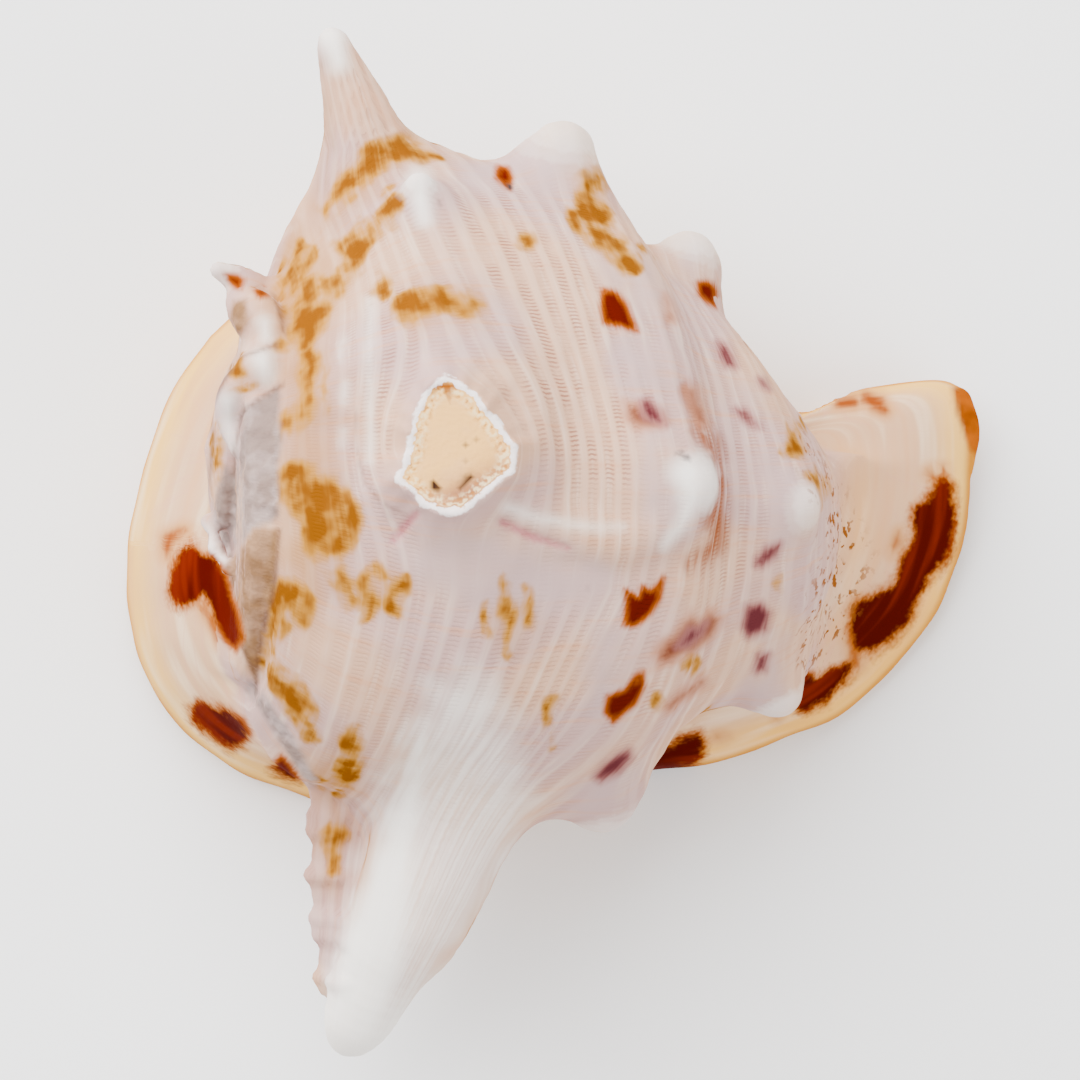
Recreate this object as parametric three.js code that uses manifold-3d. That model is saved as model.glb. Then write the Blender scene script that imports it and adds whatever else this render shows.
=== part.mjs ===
// A large horned helmet shell, lying on its flat shield with its back up.
// Millimetres. +Z is up, +X points to the siphonal canal and +Y to the parietal side, so the outer lip is
// at -Y. The origin is under the middle of the bounding box, on the surface that the shell rests on.
import * as THREE from "three";
import { mergeVertices } from "three/addons/utils/BufferGeometryUtils.js";
import Module from "manifold-3d";

const wasm = await Module();
wasm.setup();
const { degToRad, lerp, smoothstep } = THREE.MathUtils;

// The coiling axis runs from the apex forwards and down.
const APEX = new THREE.Vector3(-75.2, 21, 76.3);
const AXIS_TILT = degToRad(17);
const WHORL_SIDES = 48;
const RINGS_PER_ROW = 2;
const HORN_SIDES = 12;
const LUMP_SIDES = 7;

// The body whorl's profile, from the apex to the neck. Each row is a spiral line of the shell: its distance
// along the axis from the apex and its distance from the axis, on the parietal side, back, lip side and belly.
const WHORL_ROWS = {
  apex: { along: [-1, -1, -1, -1], radius: [0, 0, 0, 0] },
  earlyRim: { along: [3, -0.5, 2, 5], radius: [14, 14, 17, 15] },
  earlySuture: { along: [6, 2.5, 5, 8], radius: [16.5, 16.5, 20, 18] },
  lastRim: { along: [9, 0.5, 5, 13], radius: [31, 34, 47, 38] },
  suture: { along: [15, 5.5, 10, 16], radius: [33.5, 37, 53, 43] },
  rampTop: { along: [14.5, 9, 10, 18], radius: [37, 41, 60, 48] },
  ramp: { along: [21, 22, 21, 26], radius: [50, 49, 73, 56] },
  shoulder: { along: [35, 39, 45, 40], radius: [60, 60, 77, 60] },
  firstBand: { along: [57, 62, 66, 62], radius: [63.5, 58.5, 80, 55] },
  secondRow: { along: [84, 91, 88, 88], radius: [57.5, 57, 75, 47] },
  secondBand: { along: [96, 104, 102, 103], radius: [46, 47, 65, 42] },
  thirdRow: { along: [108, 120.5, 128, 120], radius: [37, 42.5, 50, 35] },
  thirdBand: { along: [114, 133, 137, 132], radius: [25, 28, 40, 25] },
  neck: { along: [121, 137, 141, 137], radius: [12, 17, 25, 15] },
  tip: { along: [126, 139, 144, 140], radius: [0, 0, 0, 0] },
};

// Horns, knobs and ridges: the middle line, and the radius at each point. They flare into the whorl.
const HORNS = {
  upper: {
    line: [[-30, 60, 58], [-35, 73, 63], [-39.8, 84, 67], [-42.4, 95, 71], [-45.2, 103, 73],
      [-47.4, 109.5, 74.4], [-48.1, 113.8, 75]],
    radius: [34, 21, 10.8, 7.4, 5.2, 3.6, 2],
  },
  lower: {
    line: [[-16, -40, 62], [-22, -58, 63.5], [-27.8, -75, 64.5], [-31.7, -83.7, 64], [-37.5, -93.5, 63],
      [-42, -104, 61], [-44, -110.5, 59.5], [-44.3, -113.8, 59]],
    radius: [28, 17, 14, 12.9, 10, 8.2, 5.4, 2.5],
  },
  lowerFlange: {
    line: [[-38, -40, 52], [-44.5, -58, 51], [-46.5, -73.3, 51], [-46, -83.5, 51], [-46.5, -92.5, 50],
      [-48.8, -98.5, 49]],
    radius: [16, 10, 7.5, 7, 6, 3.5],
  },
  brokenStump: {
    line: [[-28, 19.5, 92], [-24, 20, 110], [-21.5, 20.4, 121], [-20, 20.4, 127], [-19.5, 20.4, 131.5]],
    radius: [46, 33, 20, 14.5, 12.4],
    oval: 1.12,
  },
  shoulderKnob: {
    line: [[-22, 45, 76], [-26, 62, 86], [-27.6, 72, 92.5], [-28.2, 79, 97.5]],
    radius: [22, 13, 6, 1.8],
  },
  secondRowUpper: {
    line: [[1, 60, 58], [1, 72, 62.5], [1.4, 82, 65], [2.5, 89.6, 66]],
    radius: [19, 12.5, 9.6, 5],
  },
  secondRowBack: {
    line: [[8, 15, 86], [19, 14, 98], [27, 13.3, 104], [33, 13, 108]],
    radius: [28, 17, 9.5, 3.5],
  },
  secondRowLower: {
    line: [[6, -34, 58], [9, -46, 57.5], [11.4, -54, 57], [11.6, -60.5, 56.5]],
    radius: [24, 15, 9.5, 4.5],
  },
  thirdRowUpper: {
    line: [[25, 44, 46], [28, 55, 50], [30.5, 62, 52], [31, 67.3, 52.5]],
    radius: [17, 10.5, 7.5, 4],
  },
  thirdRowBack: {
    line: [[40, 11, 68], [49, 9, 77.5], [54.5, 8.4, 82.5]],
    radius: [17, 9, 4],
  },
  thirdRowLower: {
    line: [[42, -18, 50], [47.5, -28.5, 50], [50.5, -35, 50]],
    radius: [15, 9, 4.5],
  },
  backRidge: {
    line: [[-16, 13, 112], [-5, 6, 112], [6, 2.5, 110.5], [16, 2, 106.5], [26, 7, 102.5]],
    radius: [14, 9, 7.5, 8, 9],
  },
  spireSpike: {
    line: [[-60, 50, 76], [-67, 57, 80], [-73.4, 60.4, 84]],
    radius: [8, 4, 1.2],
  },
  canalLobe: {
    line: [[95.5, 18, 13], [97.4, 26, 15], [95.6, 33.5, 15.5]],
    radius: [2, 2.5, 2.2],
  },
};

// What is left of the horns of the whorl before the last, on the worn face of the spire.
const SPIRE_LUMPS = {
  plate: { line: [[-66, 53, 84], [-63.4, 49, 94], [-60.5, 46, 98]], radius: [4.5, 5.5, 3] },
  knob: { line: [[-60, 38.5, 95], [-62.2, 38.3, 101], [-62.8, 38.2, 105.5]], radius: [7.5, 5.8, 2.2] },
  claw: {
    line: [[-62, 37.5, 100], [-66.8, 34, 101], [-69, 28, 97.5], [-67.4, 20.5, 98]],
    radius: [5, 4.2, 3.4, 1.6],
  },
  pearls: { line: [[-74.6, 5, 77], [-72.8, -1, 81], [-70.4, -5, 84]], radius: [3, 2.4, 2.6] },
};

// The shield's outline in plan, clockwise from the spire spike, and the rings of its slab from below up.
const SHIELD_OUTLINE = [
  [-80.2, 49.2], [-89.1, 36.4], [-96.4, 16.2], [-100.1, -5], [-97.3, -26.4], [-89.1, -40.9], [-76.2, -52.2],
  [-57.7, -59.7], [-35, -66], [-11.6, -63.4], [11.9, -56.4], [26.8, -53.6], [40.4, -51.5], [55.9, -45.8],
  [71.1, -38.6], [88.1, -20.7], [95.1, -6.2], [98, 6.6], [99.9, 22], [98.4, 34.6], [93, 37.4], [80, 36.6],
  [71.9, 35.5], [57.5, 31], [40, 42], [26, 58], [11.9, 70.5], [-11.6, 76], [-35, 74], [-58.4, 65],
  [-71.3, 57],
];
const SHIELD_STEPS = 64;
const SHIELD_RINGS = [
  { share: 0.4, up: 0 }, { share: 0.75, up: 0 }, { share: 0.955, up: 0 }, { share: 0.99, up: 0.4 },
  { share: 1, up: 0.7 }, { share: 0.99, up: 0.9 }, { share: 0.955, up: 1 }, { share: 0.87, up: 1 },
  { share: 0.76, up: 1 }, { share: 0.6, up: 1 }, { share: 0.3, up: 1 },
];
const RIM_THICKNESS = 6;
const SHIELD_RISE = 30;
const SPIRE_SIDE_RISE = 62;
const SPIRE_SIDE = { from: -45, to: -80 };
const RISE_SHARE = 0.34;
const WING_START = 60;
const WING_END = 100;
const WING_LIFT = 9;
const WING_LIFT_AT_LIP = 0.25;
const WING_LIFT_SPAN = 30;
const WING_FLATNESS = 0.45;
const FLATNESS_LEAD = 10;

// The aperture: its middle line in plan and half its width. It runs out into the canal under the wing.
const APERTURE = [
  { at: [-69, -28], half: 3.5 }, { at: [-54, -22], half: 7 }, { at: [-27, -15], half: 8.5 },
  { at: [0, -9], half: 8.5 }, { at: [24, -4.4], half: 8 }, { at: [42, -0.2], half: 6.8 },
  { at: [53, 2.4], half: 5 },
];
const APERTURE_HEIGHT = 30;
const CANAL = {
  line: [[45, 0.6, 3], [60, 5.5, 4], [78, 15, 5], [92, 24, 6.5], [106, 32, 8]],
  radius: [6, 6, 5.6, 4.8, 4.4],
};
const APERTURE_CURVE_STEPS = 14;
const BELOW_GROUND = 2;
const TEETH = { count: 9, from: 0.2, to: 0.86, size: [2.1, 5.5, 3.2], height: 3.6, overlap: 0.5 };

// The living chamber's wall and the pillar in its middle.
const WALL = 7;
const COLUMELLA_RADIUS = 15;
const CHAMBER_SWEEP = degToRad(150);
const CHAMBER_STEPS = 24;

const AXIS = new THREE.Vector3(Math.cos(AXIS_TILT), 0, -Math.sin(AXIS_TILT));
const BACK = new THREE.Vector3(Math.sin(AXIS_TILT), 0, Math.cos(AXIS_TILT));
const LIP = new THREE.Vector3(0, -1, 0);

// Four values, one a side, joined round the axis by one smooth wave.
function aroundAxis([parietal, back, lip, belly], angle) {
  const level = (parietal + back + lip + belly) / 4;
  const upDown = (back - belly) / 2;
  const sideways = (lip - parietal) / 2;
  const oval = (back + belly - parietal - lip) / 4;
  return level + upDown * Math.cos(angle) + sideways * Math.sin(angle) + oval * Math.cos(2 * angle);
}

function axisPoint(along, radius, angle) {
  return APEX.clone()
    .addScaledVector(AXIS, along)
    .addScaledVector(BACK, radius * Math.cos(angle))
    .addScaledVector(LIP, radius * Math.sin(angle));
}

function rowPoint(row, angle, inwards = 0, forwards = 0) {
  return axisPoint(aroundAxis(row.along, angle) + forwards, aroundAxis(row.radius, angle) - inwards, angle);
}

// A closed solid through rings of points. Each end is closed to the middle of its ring.
function loft(rings) {
  const sides = rings[0].length;
  const points = rings.flat();
  const faces = [];
  for (let ring = 0; ring < rings.length - 1; ring += 1) {
    for (let side = 0; side < sides; side += 1) {
      const a = ring * sides + side;
      const b = ring * sides + (side + 1) % sides;
      faces.push(a, b, a + sides, b, b + sides, a + sides);
    }
  }
  for (const [ring, turned] of [[0, true], [rings.length - 1, false]]) {
    const middle = new THREE.Vector3();
    rings[ring].forEach((point) => middle.addScaledVector(point, 1 / sides));
    const centre = points.push(middle) - 1;
    for (let side = 0; side < sides; side += 1) {
      const a = ring * sides + side;
      const b = ring * sides + (side + 1) % sides;
      faces.push(...(turned ? [b, a, centre] : [a, b, centre]));
    }
  }
  const geometry = new THREE.BufferGeometry().setFromPoints(points);
  geometry.setIndex(faces);
  return geometry;
}

// Six times the volume inside: negative where the faces point in.
function signedVolume(geometry) {
  const { position } = geometry.attributes;
  const corners = geometry.index.array;
  const [a, b, c] = [new THREE.Vector3(), new THREE.Vector3(), new THREE.Vector3()];
  let total = 0;
  for (let i = 0; i < corners.length; i += 3) {
    a.fromBufferAttribute(position, corners[i]);
    b.fromBufferAttribute(position, corners[i + 1]);
    c.fromBufferAttribute(position, corners[i + 2]);
    total += a.dot(b.cross(c));
  }
  return total;
}

function toSolid(geometry) {
  const bare = geometry.clone();
  bare.deleteAttribute("normal");
  bare.deleteAttribute("uv");
  const merged = mergeVertices(bare, 1e-4);
  const triVerts = Uint32Array.from(merged.index.array);
  if (signedVolume(merged) < 0) {
    for (let i = 0; i < triVerts.length; i += 3) {
      [triVerts[i], triVerts[i + 1]] = [triVerts[i + 1], triVerts[i]];
    }
  }
  const vertProperties = Float32Array.from(merged.attributes.position.array);
  return new wasm.Manifold(new wasm.Mesh({ numProp: 3, vertProperties, triVerts }));
}

function toGeometry(solid) {
  const { vertProperties, triVerts } = solid.getMesh();
  const geometry = new THREE.BufferGeometry();
  geometry.setAttribute("position", new THREE.BufferAttribute(Float32Array.from(vertProperties), 3));
  geometry.setIndex(Array.from(triVerts));
  geometry.computeVertexNormals();
  return geometry;
}

function bodyWhorl() {
  const rows = Object.values(WHORL_ROWS);
  const strips = Array.from({ length: WHORL_SIDES }, (_, side) => {
    const angle = 2 * Math.PI * side / WHORL_SIDES;
    const line = rows.map((row) => rowPoint(row, angle));
    const curve = new THREE.CatmullRomCurve3(line, false, "centripetal");
    return curve.getPoints(rows.length * RINGS_PER_ROW).slice(1, -1);
  });
  return loft(strips[0].map((_, ring) => strips.map((strip) => strip[ring])));
}

// A bar of changing radius along a curve, round or stretched in Y.
function horn({ line, radius, oval = 1, sides = HORN_SIDES }) {
  const curve = new THREE.CatmullRomCurve3(line.map((point) => new THREE.Vector3(...point)));
  const steps = line.length - 1;
  const { normals, binormals } = curve.computeFrenetFrames(steps);
  const middle = (step) => curve.getPoint(step / steps);
  const stretch = new THREE.Vector3(1, oval, 1);
  return loft(radius.map((size, step) => Array.from({ length: sides }, (_, side) => {
    const angle = 2 * Math.PI * side / sides;
    return middle(step)
      .addScaledVector(normals[step], size * Math.cos(angle))
      .addScaledVector(binormals[step], size * Math.sin(angle))
      .sub(middle(step)).multiply(stretch).add(middle(step));
  })));
}

// How far the shield is lifted off the ground at a place: only under the recurved canal.
function wingLift(x, y) {
  const outwards = smoothstep(x, WING_START, WING_END);
  const canalwards = smoothstep(y, -WING_LIFT_SPAN, WING_LIFT_SPAN);
  return WING_LIFT * outwards * lerp(WING_LIFT_AT_LIP, 1, canalwards);
}

// How far the shield's top stands over its rim: highest where it climbs the spire's face.
function shieldRise(x) {
  const onSpire = smoothstep(-x, -SPIRE_SIDE.from, -SPIRE_SIDE.to);
  const onWing = smoothstep(x, WING_START - FLATNESS_LEAD, WING_END - FLATNESS_LEAD);
  return lerp(SHIELD_RISE, SPIRE_SIDE_RISE, onSpire) * (1 - WING_FLATNESS * onWing);
}

function shield() {
  const outline = new THREE.CatmullRomCurve3(
    SHIELD_OUTLINE.map(([x, y]) => new THREE.Vector3(x, y, 0)), true, "centripetal");
  const edge = outline.getSpacedPoints(SHIELD_STEPS).slice(0, -1);
  return loft(SHIELD_RINGS.map(({ share, up }) => edge.map((point) => {
    const [x, y] = [point.x * share, point.y * share];
    const inwards = Math.min(1, (1 - share) / RISE_SHARE);
    const rise = shieldRise(point.x) * Math.sin(inwards * Math.PI / 2);
    return new THREE.Vector3(x, y, wingLift(x, y) + up * (RIM_THICKNESS + (up === 1 ? rise : 0)));
  })));
}

function apertureSlot() {
  const lipEdge = APERTURE.map(({ at, half }) => new THREE.Vector2(at[0], at[1] - half));
  const innerEdge = APERTURE.map(({ at, half }) => new THREE.Vector2(at[0], at[1] + half)).reverse();
  const shape = new THREE.Shape([lipEdge, innerEdge].flatMap((edge) => (
    new THREE.SplineCurve(edge).getPoints(APERTURE_CURVE_STEPS))));
  const depth = APERTURE_HEIGHT + BELOW_GROUND;
  return new THREE.ExtrudeGeometry(shape, { depth, bevelEnabled: false }).translate(0, 0, -BELOW_GROUND);
}

// The room between the columella and the body whorl's wall, from one side of the belly round the back to
// the other.
function chamber() {
  const { ramp, shoulder, firstBand, secondRow, secondBand, thirdRow } = WHORL_ROWS;
  return loft(Array.from({ length: CHAMBER_STEPS + 1 }, (_, step) => {
    const angle = lerp(-CHAMBER_SWEEP, CHAMBER_SWEEP, step / CHAMBER_STEPS);
    const first = aroundAxis(ramp.along, angle) + 2 * WALL;
    const last = aroundAxis(thirdRow.along, angle);
    return [
      rowPoint(ramp, angle, WALL, WALL),
      ...[shoulder, firstBand, secondRow, secondBand, thirdRow].map((row) => rowPoint(row, angle, WALL)),
      axisPoint(last, COLUMELLA_RADIUS, angle),
      axisPoint(first, COLUMELLA_RADIUS, angle),
    ];
  }));
}

function teeth() {
  const middle = new THREE.SplineCurve(APERTURE.map(({ at }) => new THREE.Vector2(...at)));
  const width = new THREE.SplineCurve(APERTURE.map(({ half }, i) => new THREE.Vector2(i, half)));
  return Array.from({ length: TEETH.count * 2 }, (_, i) => {
    const share = lerp(TEETH.from, TEETH.to, Math.floor(i / 2) / (TEETH.count - 1));
    const side = i % 2 ? 1 : -1;
    const place = middle.getPoint(share);
    const reach = width.getPoint(share).y + TEETH.size[1] * TEETH.overlap;
    return new THREE.SphereGeometry(1, 6, 4)
      .scale(...TEETH.size)
      .translate(place.x, place.y + side * reach, TEETH.height);
  });
}

function shell() {
  const lumps = Object.values(SPIRE_LUMPS).map((lump) => horn({ ...lump, sides: LUMP_SIDES }));
  const grown = [bodyWhorl(), shield(), ...Object.values(HORNS).map(horn), ...lumps];
  const hollows = [chamber(), apertureSlot(), horn(CANAL)];
  const outside = grown.map(toSolid).reduce((whole, part) => whole.add(part));
  const hollowed = hollows.map(toSolid).reduce((whole, part) => whole.subtract(part), outside);
  return toGeometry(teeth().map(toSolid).reduce((whole, part) => whole.add(part), hollowed));
}

const pearl = new THREE.MeshStandardMaterial({ color: 0xe3d6cd, roughness: 0.45, metalness: 0 });
const mesh = new THREE.Mesh(shell(), pearl);
mesh.name = "shell";

const model = new THREE.Group();
model.add(mesh);
export default model;
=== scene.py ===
"""A large horned helmet shell on a pale floor, seen from straight above.

The shell's surface is the zero level of one distance field: whorl, shield, horns and knobs grown
together, with the living chamber and the aperture taken out. A net over the field gives the mesh. The same
fields then say where its cords, growth lines and markings lie, and the material reads those as attributes.
Lengths are millimetres until the mesh is made."""
import math

import bpy
import numpy as np
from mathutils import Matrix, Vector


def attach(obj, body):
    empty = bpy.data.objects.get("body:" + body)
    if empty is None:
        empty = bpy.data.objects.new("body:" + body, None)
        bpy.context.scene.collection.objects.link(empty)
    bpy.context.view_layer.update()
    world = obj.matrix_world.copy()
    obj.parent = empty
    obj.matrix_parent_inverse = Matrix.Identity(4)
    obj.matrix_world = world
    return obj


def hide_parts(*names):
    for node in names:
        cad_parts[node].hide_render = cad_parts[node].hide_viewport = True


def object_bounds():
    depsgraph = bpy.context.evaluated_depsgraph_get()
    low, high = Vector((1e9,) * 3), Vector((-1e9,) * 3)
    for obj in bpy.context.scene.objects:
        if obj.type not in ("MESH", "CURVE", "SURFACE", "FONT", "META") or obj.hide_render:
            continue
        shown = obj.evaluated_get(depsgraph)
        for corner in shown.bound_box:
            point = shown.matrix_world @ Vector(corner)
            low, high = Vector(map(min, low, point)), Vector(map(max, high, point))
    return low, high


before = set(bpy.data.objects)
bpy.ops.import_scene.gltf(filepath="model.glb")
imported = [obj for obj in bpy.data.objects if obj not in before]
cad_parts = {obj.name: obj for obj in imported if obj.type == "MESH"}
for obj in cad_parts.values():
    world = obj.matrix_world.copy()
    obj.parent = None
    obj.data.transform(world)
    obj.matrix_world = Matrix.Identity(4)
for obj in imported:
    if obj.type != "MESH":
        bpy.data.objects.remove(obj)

cad_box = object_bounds()

MM = 0.001
BAR_REACH = 24.0
FIELD_BOX = np.array([-104.0, -118, -3]), np.array([104.0, 118, 136])
GRID_STEP = 1.12
COARSE_CELLS = 4
MESH_TRIANGLES = 192_000

# The camera looks straight down. Markings are placed where it sees them, in pixels of its view.
CAMERA = {"height": 1200.0, "x": -2.2, "y": 1.0, "pixel": 0.235, "pixels": 1080}

# The coiling axis, from the apex forwards and down.
APEX = np.array([-75.2, 21.0, 76.3])
AXIS_TILT = math.radians(17)
AXIS = np.array([math.cos(AXIS_TILT), 0.0, -math.sin(AXIS_TILT)])
BACK = np.array([math.sin(AXIS_TILT), 0.0, math.cos(AXIS_TILT)])

# The whorl's profile from the apex to the neck. Each row is a spiral line: its distance along the axis,
# then from the axis, on the parietal side, the back, the lip side and the belly.
WHORL_ROWS = {
    "apex": ((-1, -1, -1, -1), (0, 0, 0, 0)),
    "early_rim": ((3, -0.5, 2, 5), (14, 14, 17, 15)),
    "early_suture": ((6, 2.5, 5, 8), (16.5, 16.5, 20, 18)),
    "last_rim": ((9, 0.5, 5, 13), (31, 34, 47, 38)),
    "suture": ((15, 5.5, 10, 16), (33.5, 37, 53, 43)),
    "ramp_top": ((14.5, 9, 10, 18), (37, 41, 60, 48)),
    "ramp": ((21, 22, 21, 26), (50, 49, 73, 56)),
    "shoulder": ((35, 39, 45, 40), (60, 60, 77, 60)),
    "first_band": ((57, 62, 66, 62), (63.5, 58.5, 80, 55)),
    "second_row": ((84, 91, 88, 88), (57.5, 57, 75, 47)),
    "second_band": ((96, 104, 102, 103), (46, 47, 65, 42)),
    "third_row": ((108, 120.5, 128, 120), (37, 42.5, 50, 35)),
    "third_band": ((114, 133, 137, 132), (25, 28, 40, 25)),
    "neck": ((121, 137, 141, 137), (12, 17, 25, 15)),
    "tip": ((126, 139, 144, 140), (0, 0, 0, 0)),
}
ROW = {name: index for index, name in enumerate(WHORL_ROWS)}
PARTS_PER_ROW = 3
# Turns four values, one a side, into the level, up-and-down, sideways and oval parts of a wave.
WAVE_OF_SIDES = np.array(
    [[0.25, 0.25, 0.25, 0.25], [0, 0.5, 0, -0.5], [-0.5, 0, 0.5, 0], [-0.25, 0.25, -0.25, 0.25]]
)

# Horns, knobs and ridges: middle line, radius at each point, and how softly they grow out of the whorl.
HORNS = {
    "upper": (
        [[-30, 60, 58], [-35, 73, 63], [-39.8, 84, 67], [-42.4, 95, 71], [-45.2, 103, 73],
         [-47.4, 109.5, 74.4], [-48.1, 111.3, 75]], [20, 15, 10.2, 7.4, 5.2, 3.8, 2.6], 16),
    "lower": (
        [[-16, -40, 62], [-22, -58, 63.5], [-27.8, -75, 64.5], [-31.7, -83.7, 64], [-37.5, -93.5, 63],
         [-42, -104, 61], [-44, -108.5, 59.5], [-44.3, -109.4, 59]],
        [20, 16, 14, 12.9, 10.4, 8.2, 6.0, 4.4], 14),
    "lower_flange": (
        [[-38, -40, 52], [-44.5, -58, 51], [-46.5, -73.3, 51], [-46, -83.5, 51], [-46.5, -92.5, 50],
         [-48.4, -98, 49]], [13, 9, 7.5, 7, 6, 4.2], 8),
    "stump": (
        [[-28, 19.5, 95], [-24, 20, 109], [-21.5, 20.4, 120], [-20, 20.4, 127], [-19.5, 20.4, 140]],
        [30, 24, 19, 18, 18], 14),
    "shoulder_knob": (
        [[-22, 45, 76], [-26, 62, 86], [-27.6, 72, 92.5], [-28.2, 77.5, 96.5]], [16, 10, 5.6, 2.6], 10),
    "second_row_upper": (
        [[1, 60, 58], [1, 72, 62.5], [1.4, 82, 65], [2.5, 86.5, 66]], [17, 12, 9.8, 7.5], 10),
    "second_row_back": (
        [[8, 15, 86], [19, 14, 98], [26, 13.3, 103.5], [30.5, 13, 106.5]], [24, 14.5, 8.5, 4.5], 10),
    "second_row_lower": (
        [[6, -34, 58], [9, -46, 57.5], [11.4, -54, 57], [11.6, -57, 56.5]], [19, 14, 9.5, 7.5], 9),
    "third_row_upper": (
        [[25, 44, 46], [28, 55, 50], [30.5, 61, 52], [31, 64, 52.5]], [15, 10.5, 8, 6.5], 8),
    "third_row_back": ([[40, 11, 68], [49, 9, 77.5], [53.5, 8.4, 81.5]], [15, 8.5, 4.5], 8),
    "third_row_lower": ([[42, -18, 50], [47.5, -28.5, 50], [50, -33, 50]], [14, 8.5, 5.5], 8),
    "back_ridge": (
        [[-17, 13, 113], [-6, 6.5, 113.6], [5, 2.6, 112.6], [16, 1, 109], [26, 6, 104.5]],
        [12, 6, 4.8, 4.8, 5.5], 4),
    "spire_spike": ([[-60, 50, 76], [-67, 57, 80], [-72.6, 60, 83.4]], [7, 3.6, 1.8], 4),
    "spire_plate": ([[-67, 53, 84], [-63.4, 49, 94], [-60.5, 46, 98]], [4, 5.5, 3.6], 3),
    "spire_knob": ([[-60, 38.5, 95], [-62.4, 38.2, 102.6]], [7.2, 4.6], 3),
    "spire_claw": (
        [[-62, 37.5, 101], [-66.8, 34, 100], [-69.2, 28, 96.5], [-67.6, 20.5, 97.6]],
        [4.6, 4.0, 3.2, 1.4], 2),
    "spire_pearls": (
        [[-75, 5, 77], [-73.8, 2, 79], [-73, -1, 80.5], [-71.6, -3.4, 82], [-70.4, -5, 83.4]],
        [2.0, 1.2, 1.9, 1.2, 1.9], 2),
    "canal_lobe": ([[96, 19, 12], [97.4, 26, 14], [95.4, 33.5, 14.5]], [2.2, 2.5, 2.3], 3),
}
NO_WHITE_TIP = ("stump", "back_ridge", "lower_flange", "canal_lobe", "spire_plate", "spire_knob",
                "spire_claw", "spire_pearls")
# How far along a horn the white of its tip begins, and its strength.
WHITE_TIPS = {
    "lower": (0.45, 1.0), "upper": (0.78, 1.0),
    "shoulder_knob": (0.75, 0.8), "second_row_back": (0.5, 0.8),
}

# The broken horn's face in plan: a filling with a jagged white rim round it.
STUMP_FACE = np.array([
    [-22.1, 34.1], [-25.0, 32.4], [-27.9, 26.3], [-28.8, 19.4], [-30.9, 14.0], [-26.3, 9.4],
    [-22.3, 7.7], [-18.3, 7.9], [-12.5, 12.9], [-8.3, 16.1], [-8.3, 20.3], [-11.6, 24.7], [-16.4, 30.9],
    [-19.4, 33.0],
])
STUMP_MIDDLE = np.array([-20.0, 20.5])
STUMP_TOP, STUMP_RIM, STUMP_FLARE, FILL_DEPTH = 131.6, 1.3, 0.36, 1.0

# The shield in plan, clockwise from the spire spike, and its slab.
SHIELD_OUTLINE = np.array([
    [-80.2, 49.2], [-89.1, 36.4], [-96.4, 16.2], [-100.1, -5], [-97.3, -26.4], [-89.1, -40.9],
    [-76.2, -52.2], [-57.7, -59.7], [-35, -66], [-11.6, -63.4], [11.9, -56.4], [26.8, -53.6],
    [40.4, -51.5], [55.9, -45.8], [71.1, -38.6], [88.1, -20.7], [95.1, -6.2], [98, 6.6], [98.4, 20],
    [97.8, 31], [96, 36.4], [91, 38.4], [80, 37.4], [71.9, 36], [57.5, 31], [40, 42], [26, 58],
    [11.9, 70.5], [-11.6, 76], [-35, 74], [-58.4, 65], [-71.3, 57],
])
RIM_THICKNESS = 6.0
SHIELD_RISE, SPIRE_SIDE_RISE, RISE_SHARE = 30.0, 62.0, 0.34
WING_START, WING_END, WING_LIFT, WING_FLATNESS = 60.0, 100.0, 9.0, 0.45

# The aperture in plan, with half its width, and the canal that it runs out into.
APERTURE = np.array([
    [-69, -28, 3.5], [-54, -22, 7], [-27, -15, 8.5], [0, -9, 8.5], [24, -4.4, 8], [42, -0.2, 6.8],
    [53, 2.4, 5],
])
APERTURE_HEIGHT = 30.0
CANAL = ([[45, 0.6, 3], [60, 5.5, 4], [78, 15, 5], [92, 24, 6.5], [106, 32, 8]], [6, 6, 5.6, 4.8, 4.4])
LIP_TOOTH_PITCH, FOLD_PITCH, TOOTH_REACH, TOOTH_HEIGHT, TOOTH_OVERHANG = 10.5, 6.5, 15.0, 2.4, 1.6
TOOTHED_PART = (-56.0, 48.0)
WALL = 7.0
COLUMELLA_RADIUS = 15.0
CHAMBER_SWEEP = math.radians(150)

# Cords run round the whorl, part round the stump, and run together on the two long horns. A fan gives, by
# distance from the middle of the shell, the middle and half the width of the cords that run onto a horn.
CORD_PITCH, CORD_HEIGHT, CORD_UNEVENNESS = 4.6, 0.12, 1.1
DASH_PITCH = 0.95
GROWTH_STEP = 0.12
GROWTH_RADIUS = 58.0
# How strongly the cords stand out, by place on the profile.
CORD_STRENGTH = np.array([
    (ROW["apex"], 0), (ROW["ramp_top"], 0.2), (ROW["ramp"], 0.45), (ROW["shoulder"] - 0.3, 1),
    (ROW["first_band"], 1), (ROW["second_row"], 0.75), (ROW["second_band"], 0.9), (ROW["third_row"], 0.6),
    (ROW["third_band"], 0.35),
])
FANS = {
    -1: ((10, 40, 75, 112), (-14, -22, -33, -44), (30, 26, 17, 8)),
    1: ((46, 66, 87, 112), (-43, -43, -42, -48), (17, 14, 9, 5)),
}
FAN_FADE = 30.0
CORD_PARTING = 12.0

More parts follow.
